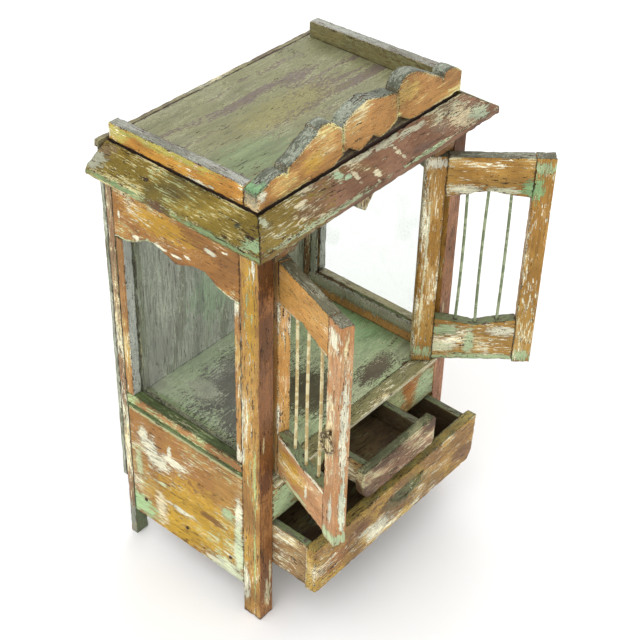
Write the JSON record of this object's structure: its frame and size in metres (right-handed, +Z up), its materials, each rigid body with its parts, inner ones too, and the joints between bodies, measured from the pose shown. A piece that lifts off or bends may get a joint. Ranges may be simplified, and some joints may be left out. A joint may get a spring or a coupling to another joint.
{
  "type": "miniature bookcase",
  "caption": "Small glazed cabinet with two wire-barred doors, two drawers under the floor, sloping cornice and a scalloped gallery round the top.",
  "frame": {"origin": "on the floor, under the middle of the box that the cabinet fills as it stands with doors and drawers open; the middle of the four feet is 9.7 mm to its left and 42.4 mm behind it", "axes": "+Z up, the front with the doors faces -Y, +X to the right as seen from the front"},
  "size_m": [0.3206, 0.264, 0.4815],
  "materials": {
    "paint_orange": "layered distressed paint, orange-brown over mustard, green and white",
    "paint_green": "worn grey-green paint over dark wood",
    "bare_wood": "old unpainted wood with paint remains",
    "glass": "clear sheet glass",
    "painted_wire": "wire with thick old paint",
    "iron": "dark rusted iron",
    "ring_metal": "dark old brass"
  },
  "bodies": {
    "cabinet": {"apron_bracket_left": "paint_orange", "apron_bracket_right": "paint_orange", "back_panel": "paint_green", "big_drawer_runners": "bare_wood", "cornice_front": "paint_orange", "cornice_side_left": "paint_orange", "cornice_side_right": "paint_orange", "drawer_bearers": "bare_wood", "floor_board": "paint_green", "front_post_left": "paint_orange", "front_post_right": "paint_orange", "front_sill": "paint_orange", "front_top_rail": "paint_orange", "gallery_front": "paint_orange", "gallery_side_left": "paint_orange", "gallery_side_right": "paint_orange", "glass_frame_left": "paint_orange", "glass_frame_right": "paint_orange", "nails": "iron", "rear_batten": "bare_wood", "rear_leg_left": "paint_orange", "rear_leg_right": "paint_orange", "side_panel_left": "paint_orange", "side_panel_right": "paint_orange", "small_drawer_runners": "bare_wood", "top_board": "paint_green", "turn_button_pin": "iron", "window_bottom_rail_left": "paint_orange", "window_bottom_rail_right": "paint_orange", "window_glass_left": "glass", "window_glass_right": "glass", "window_stiles_left": "paint_orange", "window_stiles_right": "paint_orange", "window_top_rail_left": "paint_orange", "window_top_rail_right": "paint_orange"},
    "left_door": {"left_door_hinge_stile": "paint_orange", "left_door_lock_stile": "paint_orange", "left_door_top_rail": "paint_orange", "left_door_bottom_rail": "paint_orange", "left_door_wires": "painted_wire", "left_door_pivot_pins": "iron", "ring_eye": "ring_metal"},
    "right_door": {"right_door_hinge_stile": "paint_orange", "right_door_lock_stile": "paint_orange", "right_door_top_rail": "paint_orange", "right_door_bottom_rail": "paint_orange", "right_door_wires": "painted_wire", "right_door_pivot_pins": "iron"},
    "big_drawer": {"big_drawer_front": "paint_orange", "big_drawer_side_left": "paint_orange", "big_drawer_side_right": "paint_orange", "big_drawer_back": "bare_wood", "big_drawer_bottom": "bare_wood"},
    "small_drawer": {"small_drawer_front": "paint_orange", "small_drawer_side_left": "paint_orange", "small_drawer_side_right": "paint_orange", "small_drawer_back": "bare_wood", "small_drawer_bottom": "bare_wood"},
    "ring": {"pull_ring": "ring_metal"},
    "button": {"turn_button": "paint_orange"}
  },
  "joints": [
    {"name": "left_door_hinge", "type": "hinge", "parent": "cabinet", "child": "left_door", "pos_m": [-0.1113, -0.0361, 0.164], "axis": [0, 0, -1], "range_deg": [-109.6, 20]},
    {"name": "right_door_hinge", "type": "hinge", "parent": "cabinet", "child": "right_door", "pos_m": [0.0919, -0.0361, 0.164], "axis": [0, 0, 1], "range_deg": [-130.4, 3]},
    {"name": "big_drawer_slide", "type": "slide", "parent": "cabinet", "child": "big_drawer", "axis": [0, -1, 0], "range_m": [-0.0377, 0.045]},
    {"name": "small_drawer_slide", "type": "slide", "parent": "cabinet", "child": "small_drawer", "axis": [0, -1, 0], "range_m": [-0.0386, 0.03]},
    {"name": "ring_swing", "type": "hinge", "parent": "left_door", "child": "ring", "pos_m": [-0.14999, -0.11823, 0.27992], "axis": [0.3355, 0.9421, 0], "range_deg": [-5, 80]},
    {"name": "turn_button_pivot", "type": "hinge", "parent": "cabinet", "child": "button", "pos_m": [0.0181, -0.0258, 0.4008], "axis": [0, 1, 0], "range_deg": [-40, 50]}
  ]
}
